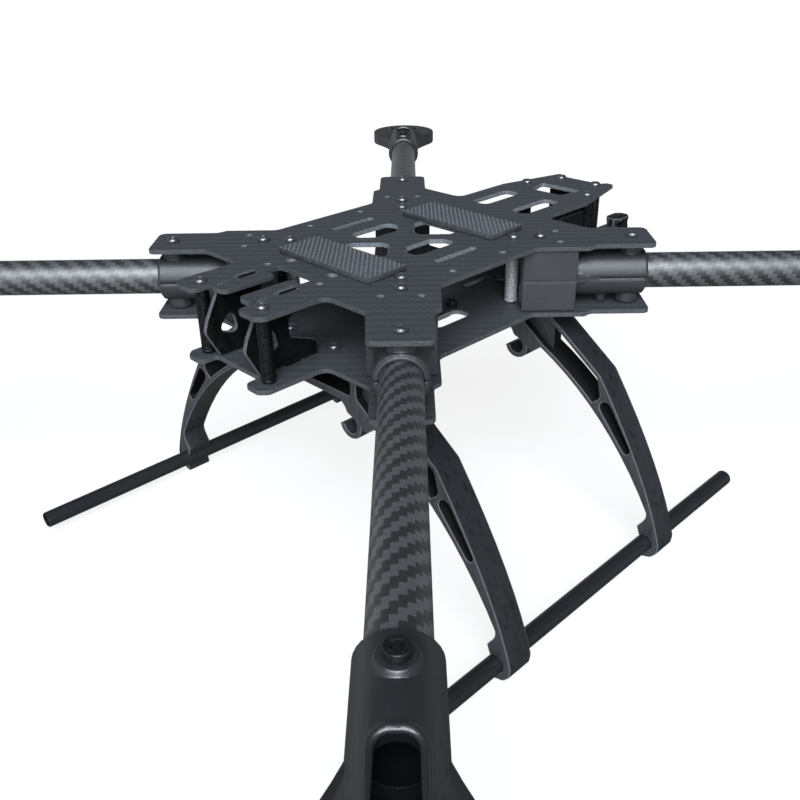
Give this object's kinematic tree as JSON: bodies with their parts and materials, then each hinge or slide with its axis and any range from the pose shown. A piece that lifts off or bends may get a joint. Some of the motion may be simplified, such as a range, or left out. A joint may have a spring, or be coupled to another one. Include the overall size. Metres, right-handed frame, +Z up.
{
  "type": "folding quadcopter airframe",
  "caption": "Folding multirotor airframe: stacked carbon plates, swing-out tube arms with motor mounts, curved landing legs on skid tubes and rail hooks under the belly.",
  "frame": {"origin": "on the ground, under the centre of the plates", "axes": "+Z up, nose towards -Y, tail towards +Y, arms on the diagonals of X and Y"},
  "size_m": [0.4736, 0.4736, 0.1489],
  "materials": {
    "carbon_sheet": "matt dark grey carbon sheet with a faint weave",
    "woven_tube": "satin twill-woven carbon tube",
    "moulded_nylon": "fine-grained moulded nylon",
    "leg_nylon": "satin black moulding",
    "skid_finish": "satin black tube",
    "black_screw": "black oxide steel",
    "anodised_pillar": "black anodised, knurled",
    "bright_pillar": "plain knurled aluminium",
    "grip_rubber": "dotted grip sheet"
  },
  "bodies": {
    "frame": {"top_plate": "carbon_sheet", "bottom_plate": "carbon_sheet", "pivot_bolt_front_right": "black_screw", "lock_screw_front_right": "black_screw", "arm_pillar_front_right": "bright_pillar", "pivot_bolt_rear_right": "black_screw", "lock_screw_rear_right": "black_screw", "arm_pillar_rear_right": "bright_pillar", "pivot_bolt_rear_left": "black_screw", "lock_screw_rear_left": "black_screw", "arm_pillar_rear_left": "bright_pillar", "pivot_bolt_front_left": "black_screw", "lock_screw_front_left": "black_screw", "arm_pillar_front_left": "bright_pillar", "leg_front_left": "leg_nylon", "leg_rear_left": "leg_nylon", "skid_left": "skid_finish", "nose_cheek_left": "carbon_sheet", "tail_cheek_left": "carbon_sheet", "nose_pillar_left": "anodised_pillar", "tail_pillar_side_left": "anodised_pillar", "tail_pillar_end_left": "anodised_pillar", "leg_front_right": "leg_nylon", "leg_rear_right": "leg_nylon", "skid_right": "skid_finish", "nose_cheek_right": "carbon_sheet", "tail_cheek_right": "carbon_sheet", "nose_pillar_right": "anodised_pillar", "tail_pillar_side_right": "anodised_pillar", "tail_pillar_end_right": "anodised_pillar", "tail_panel": "carbon_sheet", "tail_bracket": "moulded_nylon", "grip_pad_front": "grip_rubber", "grip_pad_rear": "grip_rubber"},
    "arm_front_right": {"arm_holder_upper_front_right": "moulded_nylon", "arm_holder_lower_front_right": "moulded_nylon", "arm_tube_front_right": "woven_tube", "motor_mount_front_right": "moulded_nylon", "clamp_screw_front_right": "black_screw"},
    "arm_rear_right": {"arm_holder_upper_rear_right": "moulded_nylon", "arm_holder_lower_rear_right": "moulded_nylon", "arm_tube_rear_right": "woven_tube", "motor_mount_rear_right": "moulded_nylon", "clamp_screw_rear_right": "black_screw"},
    "arm_rear_left": {"arm_holder_upper_rear_left": "moulded_nylon", "arm_holder_lower_rear_left": "moulded_nylon", "arm_tube_rear_left": "woven_tube", "motor_mount_rear_left": "moulded_nylon", "clamp_screw_rear_left": "black_screw"},
    "arm_front_left": {"arm_holder_upper_front_left": "moulded_nylon", "arm_holder_lower_front_left": "moulded_nylon", "arm_tube_front_left": "woven_tube", "motor_mount_front_left": "moulded_nylon", "clamp_screw_front_left": "black_screw"}
  },
  "joints": [
    {"name": "fold_front_right", "type": "hinge", "parent": "frame", "child": "arm_front_right", "pos_m": [0.04434, -0.04434, 0.1294], "axis": [0, 0, -1], "range_deg": [0, 45]},
    {"name": "fold_rear_right", "type": "hinge", "parent": "frame", "child": "arm_rear_right", "pos_m": [0.04434, 0.04434, 0.1294], "axis": [0, 0, 1], "range_deg": [0, 45]},
    {"name": "fold_rear_left", "type": "hinge", "parent": "frame", "child": "arm_rear_left", "pos_m": [-0.04434, 0.04434, 0.1294], "axis": [0, 0, -1], "range_deg": [0, 45]},
    {"name": "fold_front_left", "type": "hinge", "parent": "frame", "child": "arm_front_left", "pos_m": [-0.04434, -0.04434, 0.1294], "axis": [0, 0, 1], "range_deg": [0, 45]}
  ]
}
